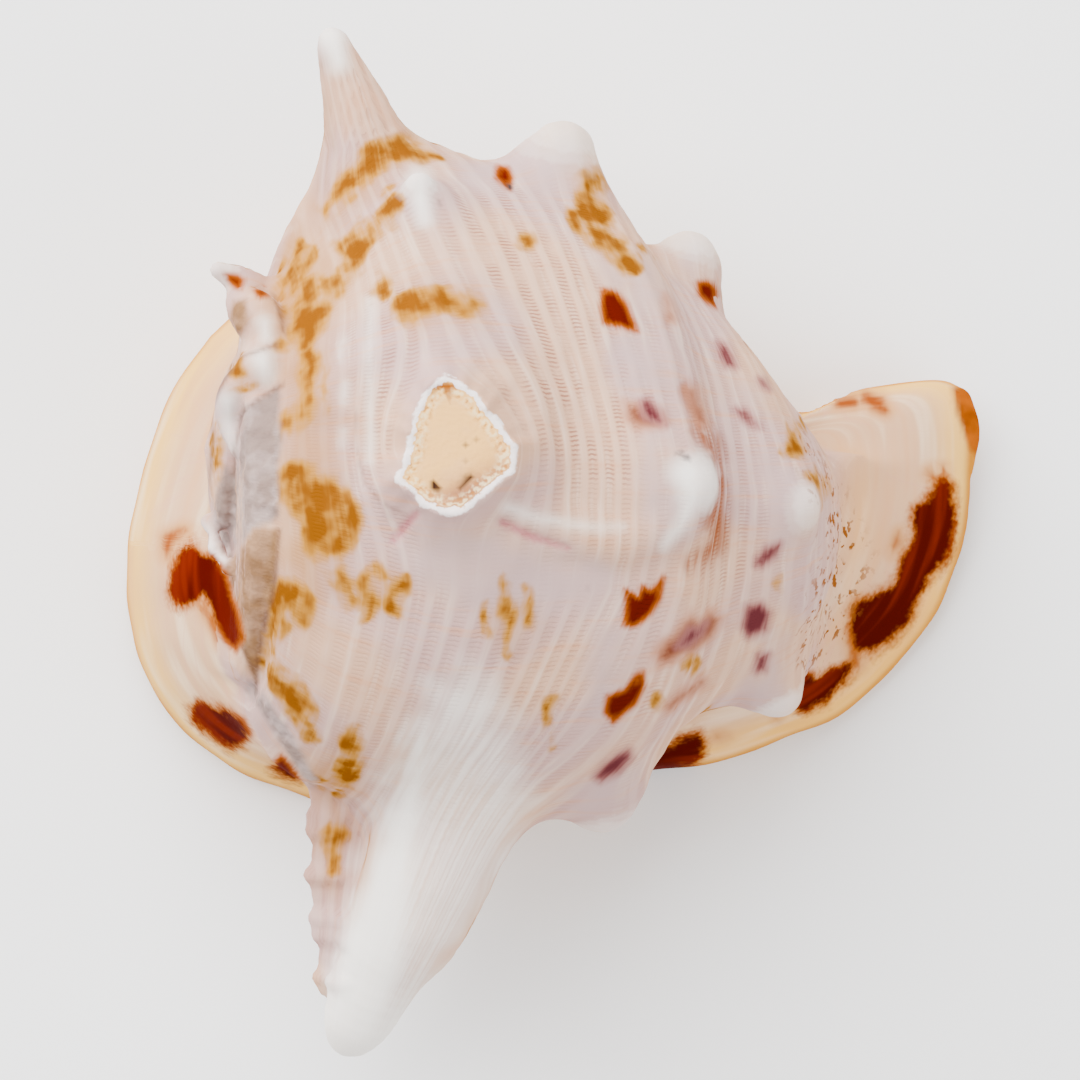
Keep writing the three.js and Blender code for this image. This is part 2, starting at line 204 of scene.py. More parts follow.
# Marks as the camera sees them: outlines of (x, y) corners, and lines of (x, y, radius) spots, in pixels.
# Spots that lie across the edge between whorl and shield, so both carry them.
LIP_SPOTS = [
    [(281, 755), (291, 766), (301, 783), (286, 780), (269, 770)],
    [(188, 706), (203, 702), (228, 709), (243, 719), (251, 733), (244, 746), (230, 750), (213, 738),
     (196, 724)],
]
BODY_MARKS = {
    "maroon": [
        [(603, 289), (616, 292), (626, 304), (631, 317), (638, 331), (622, 327), (604, 323),
         (601, 306)],
        [(697, 282), (711, 283), (716, 290), (716, 307), (707, 302), (699, 295)],
        [(626, 603), (625, 590), (639, 597), (642, 586), (651, 591), (664, 577), (660, 599), (651, 614),
         (637, 625), (624, 626)],
        [(643, 670), (644, 687), (636, 704), (613, 722), (605, 713), (607, 696), (625, 690),
         (635, 676)],
        [(225, 275), (237, 276), (243, 280), (240, 289), (232, 284)],
        [(255, 290), (264, 289), (267, 295), (260, 297)],
        [(497, 167), (508, 168), (512, 178), (509, 190), (503, 184), (496, 178)],
        [(203, 550), (217, 560), (226, 574), (232, 596), (238, 612), (243, 638), (236, 651), (224, 640),
         (211, 617), (203, 597)],
        *LIP_SPOTS,
    ],
    "purple": [
        [(640, 401), (649, 399), (658, 409), (666, 424), (652, 422), (643, 415)],
        [(630, 748), (632, 758), (620, 772), (600, 782), (594, 777), (604, 764), (618, 754)],
        [(717, 342), (726, 345), (733, 357), (737, 368), (725, 366), (720, 357)],
        [(759, 379), (764, 380), (769, 389), (762, 386)],
        [(735, 409), (747, 411), (760, 428), (752, 426), (742, 419)],
        [(756, 559), (767, 548), (782, 543), (775, 556), (763, 567), (755, 566)],
        [(746, 606), (762, 603), (770, 613), (766, 630), (748, 638), (742, 627)],
        [(757, 654), (769, 654), (765, 670), (755, 672)],
        [(676, 648), (690, 628), (697, 630), (706, 622), (702, 634), (688, 646)],
    ],
    "rust": [
        [(685, 388), (695, 388), (702, 406), (706, 424), (698, 424), (690, 408)],
        [(653, 671), (656, 651), (672, 637), (690, 613), (698, 623), (712, 612), (723, 618), (714, 636),
         (693, 650), (672, 660)],
        [(669, 707, 3), (686, 692, 4), (702, 681, 3)],
        [(625, 401), (640, 404), (664, 426), (640, 429), (630, 420)],
        [(665, 297), (670, 306), (676, 320), (668, 320)],
    ],
    "ochre": [
        [(440, 160, 4), (402, 148, 14), (374, 160, 13), (347, 186, 10), (330, 212, 8)],
        [(388, 196, 8), (387, 222, 7)], [(367, 235, 14), (352, 262, 12), (340, 280, 9)],
        [(347, 252, 8)], [(330, 286, 13)],
        [(307, 255, 9), (294, 272, 10), (280, 289, 9), (281, 312, 5)],
        [(311, 296, 18), (311, 322, 18), (302, 342, 11)],
        [(307, 351, 8), (307, 389, 9), (300, 413, 9), (287, 430, 9)], [(326, 370, 2), (322, 410, 2)],
        [(382, 275, 5), (382, 292, 5)], [(402, 309, 11), (422, 300, 13), (450, 301, 12), (482, 303, 9)],
        [(279, 470), (302, 464), (326, 470), (350, 486), (362, 508), (360, 532), (347, 548), (327, 564),
         (312, 548), (298, 520), (280, 508)],
        [(292, 592, 12), (300, 616, 13)], [(281, 590, 8), (270, 645, 8)],
        [(340, 574, 10), (352, 600, 8)], [(373, 575, 9), (369, 594, 12), (364, 614, 7)],
        [(400, 584, 10), (396, 608, 7)], [(354, 732, 8), (350, 758, 12), (344, 786, 5)],
        [(333, 833, 8), (336, 860, 9)], [(322, 780, 5)], [(506, 582, 3), (508, 622, 6), (507, 652, 2)],
        [(529, 588, 2), (529, 622, 1)], [(484, 600, 1), (484, 630, 1)],
        [(594, 178, 11), (589, 212, 21), (601, 230, 14), (618, 250, 10), (629, 266, 7)],
        [(645, 251, 6)], [(527, 240, 9)],
        [(262, 662, 9), (283, 684, 11), (302, 708, 10), (310, 730, 8)], [(797, 426, 7), (795, 446, 9)],
        [(552, 700, 4), (550, 740, 3)], [(780, 585, 5)], [(812, 470, 5), (826, 500, 6)],
        [(692, 667, 9)], [(657, 700, 7)], [(233, 357, 6), (234, 368, 6)], [(280, 347, 5)],
        [(251, 384, 2), (238, 390, 2)], [(217, 424, 4)], [(219, 438, 5)], [(220, 451, 3)],
        [(220, 466, 4)], [(220, 481, 3)], [(210, 496, 4)],
    ],
    "white": [
        [(331, 36, 14), (338, 62, 9)], [(419, 180, 8), (421, 198, 9), (424, 220, 5)],
        # These two lines run along the ridge from the stump to the second-row knob: partly its own white,
        # partly painted highlight on the ridge's lit top.
        [(688, 474, 16), (692, 496, 9), (682, 524, 3), (664, 546, 0)],
        [(622, 528, -3), (580, 526, -1), (540, 519, 1), (508, 508, 0)],
        [(350, 1035, 30), (372, 950, 30), (394, 860, 18), (410, 800, 8), (424, 740, -2)],
        [(370, 300, -1), (370, 460, -1)], [(345, 384, -2), (345, 402, -2)],
        [(343, 432, -3), (343, 444, -3)], [(345, 340, -4), (341, 358, -4)],
        [(264, 322, 3), (266, 336, 3)], [(233, 342, 4)], [(262, 358, 8), (266, 374, 7)],
        [(228, 402, 6), (228, 425, 4), (234, 446, 1)], [(204, 531, 4), (211, 546, 4), (219, 557, 4)],
    ],
    "milky": [
        [(404, 740), (432, 690), (466, 672), (494, 690), (510, 740), (526, 800), (516, 860), (480, 930),
         (440, 980), (404, 1040), (350, 1066), (330, 1000), (366, 890), (382, 790)],
    ],
    "netted": [
        [(500, 240, 60), (560, 330, 70), (610, 430, 60)], [(725, 450, 26), (720, 560, 26)],
        [(385, 300, 26), (375, 440, 26)], [(620, 700, 20)], [(480, 700, 30)],
    ],
    # Painted shade: a lavender-grey tone where the body lies below the ridge and on the shaded sides of
    # ridges and knobs.
    "lavender_shade": [
        [(430, 560, 26), (490, 572, 40), (590, 580, 26)], [(640, 270, 14), (655, 300, 14)],
        [(610, 640, 14), (600, 700, 14)], [(520, 160, 14), (470, 180, 10)],
        [(775, 470, 8), (780, 480, 6)], [(566, 158, 20), (548, 175, 18)], [(693, 262, 18)],
        [(598, 797, 18), (612, 785, 10)], [(601, 258, 4), (618, 275, 10)],
        [(628, 348, 12), (643, 375, 13)], [(650, 440, 10), (655, 505, 16)],
        [(786, 486, 10), (786, 540, 12)], [(737, 310, 8)], [(745, 390, 5)],
        [(768, 645, 8), (766, 690, 14)],
    ],
    "warm": [
        [(300, 262, 32), (302, 400, 28), (316, 520, 34), (300, 610, 20)],
        [(330, 220, 20), (372, 170, 16)], [(336, 760, 16), (328, 880, 12)],
        [(420, 306, 20), (470, 304, 14)], [(380, 590, 22)], [(510, 620, 20)],
    ],
    "pink": [
        [(416, 514, 3), (405, 526, 4), (394, 540, 3)], [(502, 522, 3), (530, 536, 4), (568, 548, 2)],
    ],
    "grey": [
        [(244, 408), (261, 397), (279, 386), (282, 441), (279, 469), (278, 520), (256, 530), (238, 545),
         (222, 552), (212, 520), (214, 501), (225, 464), (234, 471)],
        [(250, 686, 5), (280, 730, 7), (312, 780, 6)],
    ],
    "tan": [
        [(222, 566), (256, 530), (279, 530), (276, 582), (266, 616), (258, 658), (256, 683), (242, 646),
         (231, 596)],
        [(232, 300), (246, 300), (250, 320), (240, 335), (230, 345), (226, 325)],
    ],
    # Painted shadow: dark lines where crevices and folds lie, round the spire's claw and worn bands and down
    # one fold of the body.
    "crease_shadow": [
        [(236, 358, 1.6), (256, 352, 1.2), (277, 344, 1.6)],
        [(234, 475, 1.6), (234, 452, 1.8), (243, 412, 1.4), (260, 398, 1.4), (281, 386, 2)],
        [(230, 345, 2), (231, 368, 3), (219, 389, 2.4), (211, 409, 2), (213, 441, 1), (208, 495, 1.4)],
        [(274, 296, 1), (281, 318, 1.4), (284, 335, 1)],
        [(279, 530, 1.2), (275, 585, 1.6), (266, 616, 1.8), (257, 660, 2), (256, 690, 1.8)],
        [(222, 566, 1), (232, 600, 1), (242, 645, 1.6), (254, 672, 2)],
        [(355, 410, 0), (357, 450, 0), (364, 480, 0.4), (380, 502, 0.4), (405, 514, 0.4)],
    ],
    # An orange-brown band beside the second-row ridge: partly the shell's own brown, partly painted shade
    # below the ridge.
    "band": [
        [(689, 394, 8), (700, 424, 9), (713, 460, 11), (717, 510, 11), (715, 545, 10), (694, 566, 8)],
        [(668, 652, 6), (694, 632, 9)], [(664, 418, 4)],
    ],
    # Painted shade: brown down the left side of the upper horn and along the lower flange.
    "umber_shade": [
        [(319, 60, 4), (324, 110, 5), (328, 150, 6), (318, 190, 5)], [(308, 800, 4), (314, 850, 3)],
    ],
    "dark": [[(678, 451, 2), (688, 459, 2)], [(440, 203, 1.6)], [(509, 187, 3)], [(586, 590, 1.6)]],
}
SHIELD_MARKS = {
    "maroon": [
        [(944, 474), (955, 488), (957, 520), (956, 545), (946, 562), (932, 582), (919, 598), (913, 618),
         (902, 636), (891, 646), (870, 656), (852, 652), (848, 640), (848, 613), (856, 600), (872, 591),
         (887, 586), (898, 570), (905, 552), (912, 532), (912, 505), (925, 498), (936, 482)],
        [(856, 660), (852, 676), (840, 688), (825, 703), (806, 713), (793, 708), (791, 692), (793, 678),
         (800, 669), (817, 675), (838, 666)],
        [(634, 778), (643, 760), (662, 745), (684, 735), (702, 731), (706, 742), (703, 756), (695, 767),
         (668, 773)],
        [(192, 541), (203, 550), (217, 560), (226, 574), (232, 596), (238, 612), (243, 638), (236, 651),
         (224, 640), (211, 617), (203, 597), (188, 608), (173, 607), (167, 591), (172, 568),
         (182, 548)],
        *LIP_SPOTS,
    ],
    "rust": [
        [(184, 530, 7), (168, 538, 8), (166, 556, 6)], [(840, 403, 8), (853, 402, 9)],
        [(866, 397, 9), (876, 403, 11), (884, 409, 8)], [(932, 474, 8), (944, 470, 6)],
        [(900, 536, 7), (893, 552, 6)], [(862, 606, 10), (852, 640, 9), (856, 664, 8)],
        [(715, 737, 4), (726, 736, 3)], [(777, 717, 3)], [(640, 780, 6), (690, 768, 5)],
        [(222, 640, 8), (204, 608, 6)],
    ],
    "amber": [
        [(952, 388), (966, 386), (978, 396), (984, 420), (986, 448), (978, 456), (970, 450), (964, 434),
         (957, 414)],
    ],
    "glow": [
        [(846, 470, 16), (846, 540, 22), (814, 620, 14)],
        [(690, 768, 12), (780, 738, 14), (850, 694, 12), (920, 630, 10), (950, 560, 6)],
    ],
    "speckled": [[(800, 440, 8), (830, 500, 14), (846, 560, 24), (826, 620, 26), (806, 660, 12)]],
}
STUMP_MARKS = {
    "pits": [
        [(434, 485, 4), (438, 490, 3)], [(469, 476, 3.6)], [(460, 486, 2.4), (465, 484, 2.6)],
        [(478, 441, 2)], [(467, 445, 1.8)], [(466, 459, 1.8)],
    ],
    "crescent": [[(430, 390, 2), (438, 385.5, 3.2), (447, 384, 3.4), (458, 389, 2)]],
    "shade": [[(432, 506, 12), (470, 490, 14), (504, 466, 6)]],
}
# How far a mark strays from its outline, and over how many pixels its edge fades.
DRIFT = {
    "ochre": 5, "band": 4, "white": 1.5, "lavender_shade": 8, "milky": 8, "warm": 8, "grey": 1.5, "tan": 1.5,
    "umber_shade": 3, "netted": 8,
}
SOFTNESS = {
    "ochre": 13, "netted": 40, "white": 13, "lavender_shade": 22, "milky": 26, "glow": 26, "warm": 30,
    "pink": 4, "grey": 4, "tan": 4, "crease_shadow": 3, "band": 11, "umber_shade": 9, "dark": 1.4, "amber": 4,
    "speckled": 14, "pits": 1.6, "crescent": 1.4, "shade": 18,
}
MARK_REACH = 24.0
MARK_GROWTH = 0.1
# On the spire spike's side, marks fade out on walls this far below the highest surface in the view.
MARK_DEPTH, COVERED_SIDE, VIEW_CELL = (10, 18), (10, 30), 12
# Spots on the sides that the camera doesn't see: the rows that carry them, their spacing and half length.
# They fade towards the long horns and low down.
HIDDEN_SPOTS = {"maroon": ("second_row", 27.0, 3.6), "purple": ("third_row", 21.0, 2.8)}
HORN_SIDES, SPOTS_LOWEST = (54, 70), (44, 32)

ROUGHNESS = {"whorl": 0.55, "shield": 0.42, "white": 0.4, "worn": 0.7, "break": 0.75}
SHEEN = 0.001
BUMP_HEIGHT = 0.3
FLOOR_SIZE, FLOOR_TONE, FLOOR_ROUGHNESS = 6, (0.92, 0.92, 0.92, 1), 0.8
# Disk lights: place and size in metres, and power.
LIGHTS = {"key": ((-0.7, 0.95, 1.15), 2.4, 124), "fill": ((0.9, -0.6, 0.9), 1.2, 13)}
SENSOR = 36


def smoothstep(value, low, high):
    part = np.clip((value - low) / (high - low), 0.0, 1.0)
    return part * part * (3 - 2 * part)


def smooth_min(a, b, blend):
    near = np.maximum(blend - np.abs(a - b), 0.0) / blend
    return np.minimum(a, b) - near * near * blend / 4


def smooth_max(a, b, blend):
    return -smooth_min(-a, -b, blend)


def smooth_rows(rows, parts):
    """The same rows with parts - 1 more between each two, on a Catmull-Rom curve."""
    rows = np.asarray(rows, float)
    padded = np.concatenate([2 * rows[:1] - rows[1:2], rows, 2 * rows[-1:] - rows[-2:-1]])
    found = []
    for index in range(1, len(rows)):
        before, start, end, after = padded[index - 1 : index + 3]
        for part in range(parts):
            t = part / parts
            square = 2 * before - 5 * start + 4 * end - after
            cube = 3 * start - before - 3 * end + after
            found.append(0.5 * (2 * start + (end - before) * t + square * t ** 2 + cube * t ** 3))
    return np.array(found + [rows[-1]])


PROFILE = smooth_rows(np.array(list(WHORL_ROWS.values())) @ WAVE_OF_SIDES.T, PARTS_PER_ROW)


def waves(angle):
    return np.stack([np.ones_like(angle), np.cos(angle), np.sin(angle), np.cos(2 * angle)])


def axis_coordinates(points):
    """Distance along the axis and from it, and the angle round it: 0 on the back, positive to the lip."""
    away = points - APEX
    along, back, lip = away @ AXIS, away @ BACK, -away[:, 1]
    return along, np.hypot(back, lip), np.arctan2(lip, back)


def whorl_field(along, radius, angle):
    """Signed distance to the whorl without its horns, and the nearest place on its profile in rows."""
    wave = waves(angle)
    nearest = np.full(len(along), np.inf)
    place = np.zeros(len(along))
    inside = np.zeros(len(along), bool)
    along_0, radius_0 = PROFILE[0] @ wave
    for index in range(1, len(PROFILE)):
        along_1, radius_1 = PROFILE[index] @ wave
        step_along, step_radius = along_1 - along_0, radius_1 - radius_0
        from_along, from_radius = along - along_0, radius - radius_0
        length = step_along ** 2 + step_radius ** 2 + 1e-9
        part = np.clip((from_along * step_along + from_radius * step_radius) / length, 0, 1)
        gap = (from_along - part * step_along) ** 2 + (from_radius - part * step_radius) ** 2
        closer = gap < nearest
        nearest = np.where(closer, gap, nearest)
        place = np.where(closer, index - 1 + part, place)
        crosses = (along_0 > along) != (along_1 > along)
        height = step_radius * from_along - from_radius * step_along
        inside ^= crosses & (np.where(step_along > 0, height, -height) > 0)
        along_0, radius_0 = along_1, radius_1
    return np.where(inside, -1, 1) * np.sqrt(nearest), place / PARTS_PER_ROW


def from_segment(places, start, end):
    """Distance of places (a row per coordinate) from a straight line, and its part that is nearest."""
    step, away = (end - start)[:, None], places - start[:, None]
    part = np.clip((step * away).sum(0) / ((step ** 2).sum() + 1e-9), 0, 1)
    return np.sqrt(((away - part * step) ** 2).sum(0)), part


def bar_field(points, line, radius, parts=4):
    """Distance to a bar of changing radius, and how far along the bar. Far points get a lower bound."""
    track = smooth_rows(np.column_stack([line, radius]), parts)
    low = (track[:, :3] - track[:, 3:]).min(0)
    high = (track[:, :3] + track[:, 3:]).max(0)
    beyond = np.maximum(np.maximum(low - points, points - high), 0)
    far = np.sqrt(np.einsum("ij,ij->i", beyond, beyond))
    found, reached = far + BAR_REACH / 2, np.zeros(len(points))
    close = far < BAR_REACH
    near = points[close].T.copy()
    best, best_part = np.full(near.shape[1], np.inf), np.zeros(near.shape[1])
    for index, (start, end) in enumerate(zip(track[:-1], track[1:])):
        gap, part = from_segment(near, start[:3], end[:3])
        gap -= start[3] + part * (end[3] - start[3])
        best_part = np.where(gap < best, (index + part) / (len(track) - 1), best_part)
        best = np.minimum(best, gap)
    found[close], reached[close] = best, best_part
    return found, reached


def polygon_distance(places, corners):
    """Distance to a closed outline in plan, negative inside it."""
    plan = places.T.copy()
    nearest = np.full(len(places), np.inf)
    inside = np.zeros(len(places), bool)
    for start, end in zip(corners, np.roll(corners, -1, 0)):
        nearest = np.minimum(nearest, from_segment(plan, start, end)[0])
        crosses = (start[1] > plan[1]) != (end[1] > plan[1])
        side = (end[1] - start[1]) * (plan[0] - start[0]) - (end[0] - start[0]) * (plan[1] - start[1])
        inside ^= crosses & (side * (end[1] - start[1]) < 0)
    return np.where(inside, -nearest, nearest)


def broken_off(points, horn):
    """The horn that ends in a broken face: a rim of uneven height and width round a sunken filling."""
    near = (points[:, 2] > 98) & (np.abs(points[:, :2] - STUMP_MIDDLE).max(1) < 42)
    found = smooth_max(horn, points[:, 2] - STUMP_TOP, 1.0)
    x, y, z = points[near].T
    turn = np.arctan2(y - STUMP_MIDDLE[1], x - STUMP_MIDDLE[0])
    jag = 0.5 * np.sin(7 * turn + 1) + 0.35 * np.sin(13 * turn + 2) + 0.3 * np.sin(23 * turn)
    edge = polygon_distance(points[near][:, :2], STUMP_FACE)
    depth = np.maximum(STUMP_TOP - z, 0)
    side = (edge - STUMP_RIM - 0.6 * jag - STUMP_FLARE * depth) * 0.94 - 40 * smoothstep(depth, 8, 26)
    filled = smoothstep(-edge, -0.5, 0.4)
    top = z - STUMP_TOP - 0.5 * jag * (1 - filled) + FILL_DEPTH * filled
    found[near] = smooth_max(smooth_max(horn[near], side, 3.0), top, 0.5)
    return found


def outline_table():
    """The shield outline's reach from the origin, by direction."""
    rows = smooth_rows(np.concatenate([SHIELD_OUTLINE, SHIELD_OUTLINE[:1]]), 6)[:-1]
    angle = np.arctan2(rows[:, 1], rows[:, 0])
    order = np.argsort(angle)
    return angle[order], np.hypot(rows[:, 0], rows[:, 1])[order]


OUTLINE_ANGLE, OUTLINE_REACH = outline_table()


def aperture_middle(x):
    return np.interp(x, APERTURE[:, 0], APERTURE[:, 1])


def tooth_wave(x, y):
    """1 on a tooth or fold of the aperture and 0 between them, and where there are any."""
    lip_side = smoothstep(aperture_middle(x) - y, -1, 1)
    teeth = 0.5 + 0.5 * np.cos(2 * math.pi * x / LIP_TOOTH_PITCH)
    folds = 0.5 + 0.5 * np.cos(2 * math.pi * (x + 0.25 * y) / FOLD_PITCH)
    start, end = TOOTHED_PART
    part = smoothstep(x, start, start + 8) * smoothstep(x, end, end - 8)
    return (lip_side * teeth + (1 - lip_side) * folds) * part, part


def near_aperture(x, y):
    """1 at the edge of the aperture, fading over the teeth's reach."""
    from_slot = np.abs(y - aperture_middle(x)) - np.interp(x, APERTURE[:, 0], APERTURE[:, 2])
    return smoothstep(from_slot, TOOTH_REACH, 0) * smoothstep(x, -86, -66) * smoothstep(x, 90, 60)


def shield_field(points):
    """Distance to the shield's slab, and how far in from its rim each point is."""
    x, y, z = points.T
    reach = np.interp(np.arctan2(y, x), OUTLINE_ANGLE, OUTLINE_REACH, period=2 * math.pi)
    share = np.hypot(x, y) / reach
    rim_x = x / np.maximum(share, 0.05)
    inwards = reach * (1 - share)
    lift = WING_LIFT * smoothstep(x, WING_START, WING_END) * (0.25 + 0.75 * smoothstep(y, -30, 30))
    climb = SHIELD_RISE + (SPIRE_SIDE_RISE - SHIELD_RISE) * smoothstep(-rim_x, 45, 80)
    climb = climb * (1 - WING_FLATNESS * smoothstep(rim_x, WING_START - 10, WING_END - 10))
    part = np.clip((1 - share) / RISE_SHARE, 0, 1)
    rise = climb * np.sin(part * math.pi / 2)
    slope = np.where(part < 1, climb * np.cos(part * math.pi / 2) * math.pi / 2 / (RISE_SHARE * reach), 0)
    top = (z - lift - RIM_THICKNESS - rise) / np.sqrt(1 + slope ** 2)
    tooth, toothed = tooth_wave(x, y)
    hollow = near_aperture(x, y) * (0.8 + TOOTH_HEIGHT * (toothed - tooth))
    return smooth_max(smooth_max(top, lift + hollow - z, 3.0), -inwards, 5.0), inwards


def chamber_field(whorl, along, radius, angle):
    """The living chamber: inside the whorl's wall, outside the columella, and not through the belly."""
    wave = waves(angle)
    first = PROFILE[ROW["ramp"] * PARTS_PER_ROW, 0] @ wave + 1.6 * WALL
    last = PROFILE[ROW["third_row"] * PARTS_PER_ROW, 0] @ wave
    belly = radius * np.sin(np.clip(np.abs(angle) - CHAMBER_SWEEP, -math.pi / 2, math.pi / 2))
    field = smooth_max(whorl + WALL, COLUMELLA_RADIUS - radius, 6.0)
    field = smooth_max(field, first - along, 8.0)
    field = smooth_max(field, along - last, 8.0)
    return smooth_max(field, belly, 6.0)


def aperture_field(points):
    """The mouth's slot up to the chamber, with the canal at its front."""
    x, y, z = points.T
    half = np.interp(x, APERTURE[:, 0], APERTURE[:, 2])
    half = half - TOOTH_OVERHANG * tooth_wave(x, y)[0] * smoothstep(z, 14, 5)
    ends = np.maximum(APERTURE[0, 0] - x, x - APERTURE[-1, 0])
    slot = smooth_max(np.abs(y - aperture_middle(x)) * 0.97 - half, ends, 4.0)
    slot = smooth_max(slot, z - APERTURE_HEIGHT, 4.0)
    return smooth_min(slot, bar_field(points, *CANAL)[0], 4.0)


def horn_fields(points):
    """Name, distance, place along and softness of each horn, knob and ridge."""
    for name, (line, radius, blend) in HORNS.items():
        horn, reached = bar_field(points, np.array(line, float), radius)
        if name == "stump":
            horn = broken_off(points, horn)
        yield name, horn, reached, blend


def outer_field(points):
    """Distance to the whorl with its horns, to the lobe at the canal's end, and to the living chamber."""
    coordinates = axis_coordinates(points)
    whorl, _ = whorl_field(*coordinates)
    body = whorl
    for name, horn, _, blend in horn_fields(points):
        if name == "canal_lobe":
            lobe = horn
        else:
            body = smooth_min(body, horn, blend)
    return body, lobe, chamber_field(whorl, *coordinates)


def shell_field(points):
    body, lobe, chamber = outer_field(points)
    shield, _ = shield_field(points)
    wing = smoothstep(points[:, 0], 38, 62)
    field = smooth_max(smooth_min(body, shield, 7.0 + 27.0 * wing), -chamber, 3.0)
    return smooth_max(smooth_min(field, lobe, 3.0), -aperture_field(points), 3.0)


CORNERS = np.array([[i, j, k] for i in (0, 1) for j in (0, 1) for k in (0, 1)])
EDGES = [(a, b) for a in range(8) for b in range(a + 1, 8) if np.abs(CORNERS[a] - CORNERS[b]).sum() == 1]


def sampled_field(field, low, high):
    """The field on a fine grid, worked out only near the surface that a coarse grid shows."""
    coarse_step = GRID_STEP * COARSE_CELLS
    counts = np.ceil((high - low) / coarse_step).astype(int)
    blocks = np.stack(np.meshgrid(*[np.arange(n) for n in counts], indexing="ij"), -1).reshape(-1, 3)
    coarse = field(low + (blocks + 0.5) * coarse_step)
    fine = coarse.reshape(counts)
    for axis in range(3):
        fine = np.repeat(fine, COARSE_CELLS, axis)
    near = blocks[np.abs(coarse) < coarse_step * 1.3]
    inner = np.stack(np.meshgrid(*[np.arange(COARSE_CELLS)] * 3, indexing="ij"), -1).reshape(-1, 3)
    cells = (near[:, None] * COARSE_CELLS + inner[None]).reshape(-1, 3)
    for part in np.array_split(cells, max(1, len(cells) // 400_000)):
        fine[tuple(part.T)] = field(low + (part + 0.5) * GRID_STEP)
    return fine, low + 0.5 * GRID_STEP


def face_corners(values, axis, other):
    """The four corner values of every cell face that lies along two axes."""
    found = []
    for first in (slice(None, -1), slice(1, None)):
        for second in (slice(None, -1), slice(1, None)):
            cut = [slice(None)] * 3
            cut[axis], cut[other] = first, second
            found.append(values[tuple(cut)])
    return found


def fill_pinches(values, rounds=6):
    """Fills cell faces whose inside corners touch only across a diagonal, as a net would pinch there."""
    for _ in range(rounds):
        for axis, other in ((0, 1), (0, 2), (1, 2)):
            a, b, c, d = face_corners(values, axis, other)
            rising = (a < 0) & (d < 0) & (b >= 0) & (c >= 0)
            falling = (b < 0) & (c < 0) & (a >= 0) & (d >= 0)
            b[rising] = -0.05
            a[falling] = -0.05


def surface_net(values, origin):
    """Vertices and quads round the zero level of a grid of values."""
    inside = values < 0
    size = np.array(values.shape) - 1
    total = np.zeros(size, np.int8)
    for corner in CORNERS:
        total += inside[tuple(slice(c, c + n) for c, n in zip(corner, size))]
    cells = np.argwhere((total > 0) & (total < 8))
    index = np.full(size, -1)
    index[tuple(cells.T)] = np.arange(len(cells))
    place = np.zeros((len(cells), 3))
    crossings = np.zeros(len(cells))
    for a, b in EDGES:
        value_a = values[tuple((cells + CORNERS[a]).T)]
        value_b = values[tuple((cells + CORNERS[b]).T)]
        crosses = (value_a < 0) != (value_b < 0)
        part = np.where(crosses, value_a / np.where(crosses, value_a - value_b, 1), 0)
        place += crosses[:, None] * (CORNERS[a] + part[:, None] * (CORNERS[b] - CORNERS[a]))
        crossings += crosses
    vertices = origin + (cells + place / crossings[:, None]) * GRID_STEP
    quads = []
    steps = np.eye(3, dtype=int)
    for axis in range(3):
        side, other = (axis + 1) % 3, (axis + 2) % 3
        ahead = np.take(inside, range(1, inside.shape[axis]), axis)
        here = np.take(inside, range(inside.shape[axis] - 1), axis)
        starts = np.argwhere(here != ahead)
        starts = starts[(starts[:, side] > 0) & (starts[:, other] > 0)]
        starts = starts[(starts[:, side] < size[side]) & (starts[:, other] < size[other])]
        around = [starts, starts - steps[side], starts - steps[side] - steps[other],
                  starts - steps[other]]
        quad = np.column_stack([index[tuple(cell.T)] for cell in around])
        turned = ~here[tuple(starts.T)]
        quad[turned] = quad[turned][:, ::-1]
        quads.append(quad)
    return vertices, np.concatenate(quads)


def gradient(field, points, step=0.35):
    rises = [field(points + step * way) - field(points - step * way) for way in np.eye(3)]
    return np.stack(rises, 1) / (2 * step)


def settled(field, vertices, rounds=2):
    """The vertices moved along the field's slope onto its zero level, and that slope's direction."""
    for _ in range(rounds):
        slope = gradient(field, vertices)
        steep = np.maximum((slope ** 2).sum(1), 0.04)
        move = slope * (field(vertices) / steep)[:, None]
        length = np.linalg.norm(move, axis=1)
        move *= np.minimum(1, 0.8 * GRID_STEP / np.maximum(length, 1e-9))[:, None]
        vertices = vertices - move
    return vertices, slope / np.sqrt(steep)[:, None]


def seen_place(points):
    """Where the camera sees each point, in pixels of its view."""
    scale = CAMERA["pixel"] * (CAMERA["height"] - points[:, 2]) / CAMERA["height"]
    middle = CAMERA["pixels"] / 2
    return np.column_stack([middle + (points[:, 0] - CAMERA["x"]) / scale,
                            middle - (points[:, 1] - CAMERA["y"]) / scale])


def below_top(points, seen):
    """How far below the highest surface at its place in the camera's view each point is."""
    cells = CAMERA["pixels"] // VIEW_CELL
    column, line = np.clip(seen // VIEW_CELL, 0, cells).astype(int).T
    top = np.full((cells + 1, cells + 1), -np.inf)
    np.maximum.at(top, (column, line), points[:, 2])
    return top[column, line] - points[:, 2]


def spot_line_depth(seen, line):
    """How deep inside a line of (x, y, radius) spots each place is."""
    plan = seen.T.copy()
    best = np.full(len(seen), -np.inf)
    track = np.array(line if len(line) > 1 else line * 2, float)
    for start, end in zip(track[:-1], track[1:]):
        gap, part = from_segment(plan, start[:2], end[:2])
        best = np.maximum(best, start[2] + part * (end[2] - start[2]) - gap)
    return best


